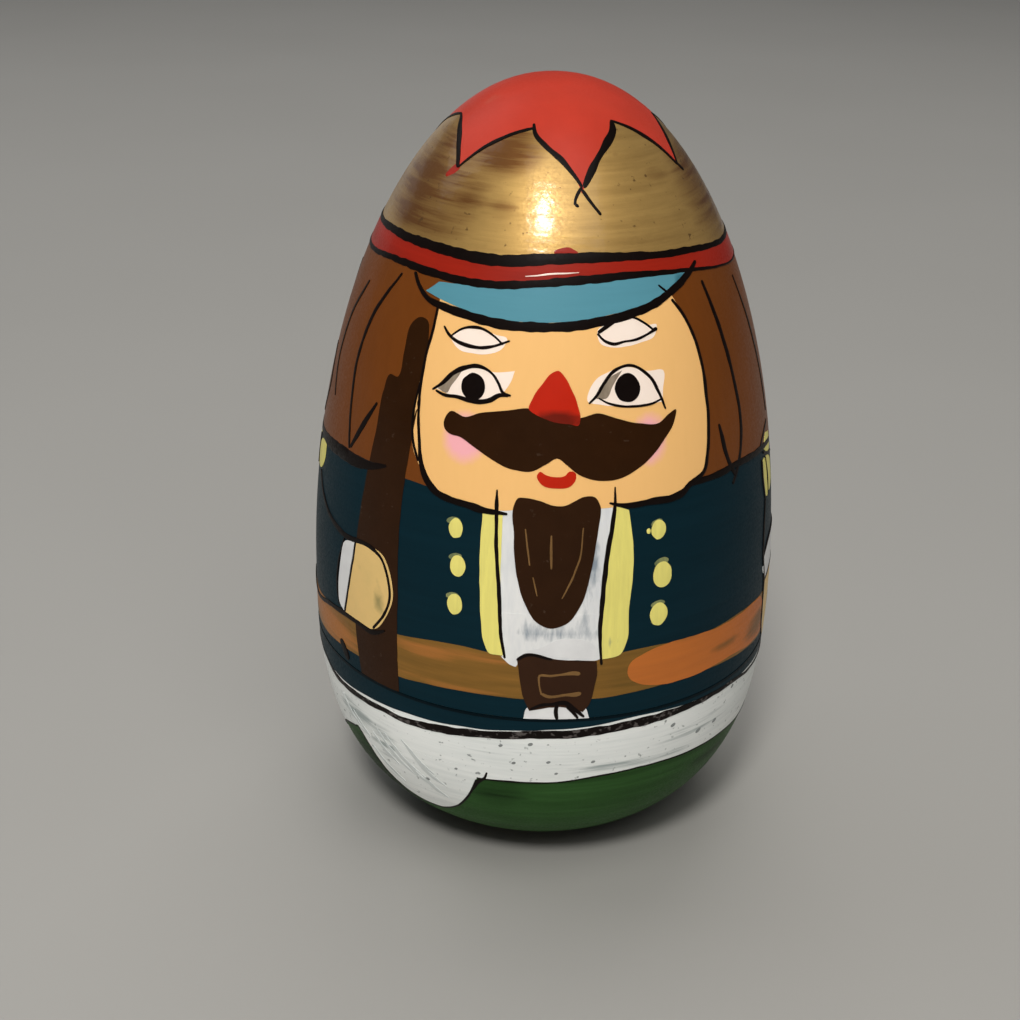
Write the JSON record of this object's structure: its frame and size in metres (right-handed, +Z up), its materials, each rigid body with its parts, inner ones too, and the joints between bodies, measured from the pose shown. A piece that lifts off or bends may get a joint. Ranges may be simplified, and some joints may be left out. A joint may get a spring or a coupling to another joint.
{
  "type": "nesting doll set",
  "caption": "Egg-shaped turned wooden nesting dolls, each hollow one a base and a cap with a push-fit neck.",
  "frame": {"origin": "middle of the outer doll's flat foot", "axes": "+Z up along the turning axis; the painted faces look along -Y, +X is to the viewer's right"},
  "size_m": [0.0712, 0.0712, 0.115],
  "materials": {
    "lacquered_cap": "turned lime wood painted by hand in gold, flesh and dark blue, under gloss lacquer",
    "lacquered_base": "turned lime wood painted by hand in green and white, under gloss lacquer",
    "bare_wood": "bare turned lime wood, inside the shells and on the necks",
    "paint": "brushed gouache under clear gloss lacquer",
    "gold_paint": "bronze powder paint with turning streaks, under clear lacquer"
  },
  "bodies": {
    "outer_base": {"outer_base": "lacquered_base"},
    "second_base": {"second_base": "lacquered_base"},
    "third_base": {"third_base": "lacquered_base"},
    "fourth_base": {"fourth_base": "lacquered_base"},
    "innermost_doll": {"innermost_doll": "lacquered_cap"},
    "fourth_cap": {"fourth_cap": "lacquered_cap"},
    "third_cap": {"third_cap": "lacquered_cap"},
    "second_cap": {"second_cap": "lacquered_cap"},
    "outer_cap": {"outer_cap": "lacquered_cap"}
  },
  "joints": [
    {"name": "lift_second_doll", "type": "slide", "parent": "outer_base", "child": "second_base", "axis": [0, 0, 1], "range_m": [0, 0.042]},
    {"name": "lift_third_doll", "type": "slide", "parent": "second_base", "child": "third_base", "axis": [0, 0, 1], "range_m": [0, 0.034]},
    {"name": "lift_fourth_doll", "type": "slide", "parent": "third_base", "child": "fourth_base", "axis": [0, 0, 1], "range_m": [0, 0.028]},
    {"name": "twist_caps", "type": "hinge", "parent": "fourth_base", "child": "innermost_doll", "pos_m": [0, 0, 0.01728], "axis": [0, 0, 1], "continuous": true},
    {"name": "lift_fourth_cap", "type": "slide", "parent": "innermost_doll", "child": "fourth_cap", "axis": [0, 0, 1], "range_m": [0, 0.034]},
    {"name": "lift_third_cap", "type": "slide", "parent": "fourth_cap", "child": "third_cap", "axis": [0, 0, 1], "range_m": [0, 0.045]},
    {"name": "lift_second_cap", "type": "slide", "parent": "third_cap", "child": "second_cap", "axis": [0, 0, 1], "range_m": [0, 0.058]},
    {"name": "lift_outer_cap", "type": "slide", "parent": "second_cap", "child": "outer_cap", "axis": [0, 0, 1], "range_m": [0, 0.073]}
  ]
}
